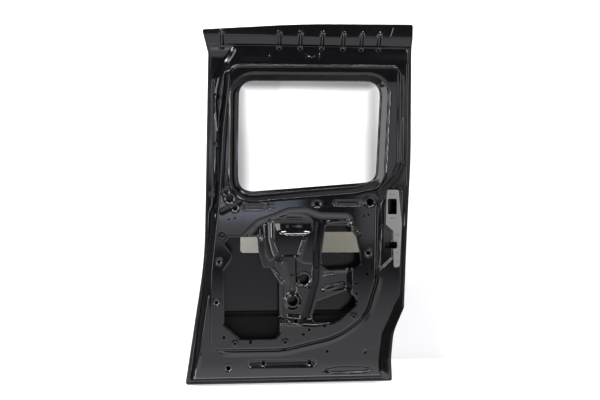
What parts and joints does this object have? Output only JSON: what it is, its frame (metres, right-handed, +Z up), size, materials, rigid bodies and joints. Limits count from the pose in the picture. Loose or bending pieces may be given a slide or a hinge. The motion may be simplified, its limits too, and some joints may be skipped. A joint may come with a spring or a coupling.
{
  "type": "van sliding side door shell",
  "caption": "Bare pressed-steel shell of a small van's sliding rear side door: crowned outer skin hemmed round an inner pressing with window opening, service openings and lock cut-outs.",
  "frame": {"origin": "on the flat floor of the lower arm seat, midway between its two bolt holes", "axes": "+Z up, +X from the door's front edge to its rear edge, +Y out of the vehicle"},
  "size_m": [0.8405, 0.1155, 1.3289],
  "materials": {
    "inner_primer": "semi-gloss black dip primer",
    "outer_primer": "semi-gloss black dip primer",
    "cavity_primer": "satin black dip primer"
  },
  "bodies": {
    "root": {"inner_header": "inner_primer", "inner_front_post": "inner_primer", "inner_rear_post": "inner_primer", "inner_belt_panel": "inner_primer", "inner_main_panel": "inner_primer", "inner_latch_post": "inner_primer", "inner_sill_band": "inner_primer", "outer_skin": "outer_primer", "rib_channel": "inner_primer", "lock_plate": "inner_primer", "latch_backing": "cavity_primer", "lower_arm_plate": "cavity_primer", "upper_arm_plate": "cavity_primer", "corner_plate": "inner_primer", "intrusion_beam": "cavity_primer", "beam_front_bracket": "cavity_primer", "beam_rear_bracket": "cavity_primer", "belt_rail": "cavity_primer"}
  },
  "joints": []
}
